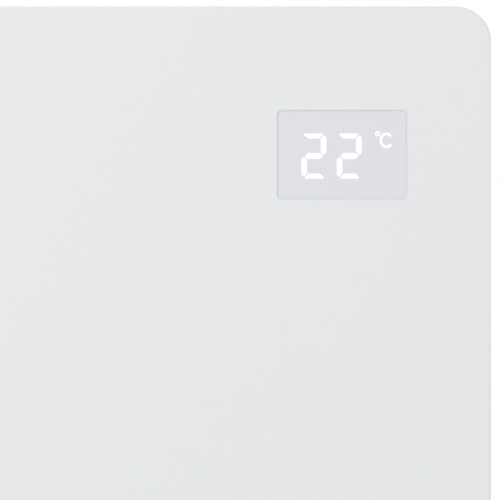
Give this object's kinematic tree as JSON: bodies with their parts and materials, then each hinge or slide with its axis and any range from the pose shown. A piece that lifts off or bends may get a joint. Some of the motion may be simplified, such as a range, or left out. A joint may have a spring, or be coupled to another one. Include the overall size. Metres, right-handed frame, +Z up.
{
  "type": "ceramic heater",
  "caption": "Flat square electric wall heater: glazed ceramic front plate with a digit display window, vented steel casing with side keys and a rocker switch, hung on a steel bracket.",
  "frame": {"origin": "middle of the four wall-screw holes, on the wall face of the bracket", "axes": "+Y into the wall, so the front faces -Y; +Z up; +X to the right seen from the front"},
  "size_m": [0.5, 0.071, 0.5],
  "materials": {
    "glaze": "smooth white glaze with a soft sheen",
    "silicone": "matte heat-resisting silicone",
    "zinc_sheet": "galvanised sheet, spangled",
    "casing_paint": "fine white powder coat",
    "vent_plastic": "pale grey heat-resisting plastic",
    "fasteners": "bright zinc plating",
    "lens_plastic": "pale tinted acrylic, milky",
    "module_plastic": "dark moulded block",
    "light_guide": "clear to white diffuser",
    "carrier_plastic": "moulded grey plastic",
    "circuit_laminate": "green solder mask",
    "key_trim": "pale grey satin plastic",
    "key_caps": "white satin plastic",
    "plungers": "grey moulded plastic",
    "switch_plastic": "black moulded plastic",
    "rocker_plastic": "glossy black plastic",
    "tinned_brass": "tinned brass",
    "fired_clay": "unglazed fired clay",
    "sheath": "stainless sheath darkened by heat",
    "steatite": "unglazed steatite",
    "pins": "nickel-plated steel",
    "board_fibre": "pale fibrous board",
    "foil": "bright rolled aluminium",
    "potting": "black potting resin",
    "relay_plastic": "blue moulded case",
    "capacitor_plastic": "yellow moulded case",
    "fuse_glass": "glass tube with metal caps",
    "terminal_plastic": "green moulded plastic",
    "clip_plastic": "white nylon",
    "sleeve_plastic": "red insulating sleeve",
    "red_insulation": "red-brown silicone insulation",
    "brown_insulation": "brown insulation",
    "earth_insulation": "green and yellow insulation",
    "ribbon_plastic": "grey flat cable",
    "buffer_rubber": "dark grey rubber"
  },
  "bodies": {
    "bracket": {"wall_bracket": "zinc_sheet"},
    "heater": {"front_plate": "glaze", "plate_seal": "silicone", "inner_frame": "zinc_sheet", "rear_cover": "casing_paint", "outlet_grille": "vent_plastic", "casing_screws": "fasteners", "display_lens": "lens_plastic", "led_module": "module_plastic", "segment_guides": "light_guide", "display_carrier": "carrier_plastic", "display_board": "circuit_laminate", "key_bezel": "key_trim", "key_switches": "switch_plastic", "key_board": "circuit_laminate", "switch_housing": "switch_plastic", "switch_tabs": "tinned_brass", "front_bricks": "fired_clay", "rear_bricks": "fired_clay", "heating_element": "sheath", "element_bushes": "steatite", "element_pins": "pins", "core_straps": "zinc_sheet", "flange_rivets": "fasteners", "insulation_board": "board_fibre", "reflector": "foil", "reflector_rivets": "fasteners", "partition": "zinc_sheet", "thermal_cutout": "switch_plastic", "power_board": "circuit_laminate", "board_standoffs": "fasteners", "board_screws": "fasteners", "supply_module": "potting", "relays": "relay_plastic", "filter_capacitor": "capacitor_plastic", "fuse": "fuse_glass", "terminal_block": "terminal_plastic", "room_sensor": "switch_plastic", "sensor_clip": "clip_plastic", "tab_sleeves": "sleeve_plastic", "element_leads": "red_insulation", "switch_leads": "brown_insulation", "display_ribbon": "ribbon_plastic", "earth_stud": "fasteners", "earth_tag": "fasteners", "earth_lead": "earth_insulation", "cord_bush": "clip_plastic", "bush_nut": "clip_plastic", "wall_buffers": "buffer_rubber"},
    "rocker": {"switch_rocker": "rocker_plastic"},
    "plus_key": {"key_plus": "key_caps", "plunger_plus": "plungers"},
    "mode_key": {"key_mode": "key_caps", "plunger_mode": "plungers"},
    "minus_key": {"key_minus": "key_caps", "plunger_minus": "plungers"}
  },
  "joints": [
    {"name": "lift_off", "type": "slide", "parent": "bracket", "child": "heater", "axis": [0, 0, 1], "range_m": [0, 0.012]},
    {"name": "power_rocker", "type": "hinge", "parent": "heater", "child": "rocker", "pos_m": [0.2405, -0.031, -0.28], "axis": [0, 1, 0], "range_deg": [0, 20]},
    {"name": "plus_key_press", "type": "slide", "parent": "heater", "child": "plus_key", "axis": [-1, 0, 0], "range_m": [0, 0.0006], "stiffness_N_per_m": 800, "springref_m": -0.001},
    {"name": "mode_key_press", "type": "slide", "parent": "heater", "child": "mode_key", "axis": [-1, 0, 0], "range_m": [0, 0.0006], "stiffness_N_per_m": 800, "springref_m": -0.001},
    {"name": "minus_key_press", "type": "slide", "parent": "heater", "child": "minus_key", "axis": [-1, 0, 0], "range_m": [0, 0.0006], "stiffness_N_per_m": 800, "springref_m": -0.001}
  ]
}
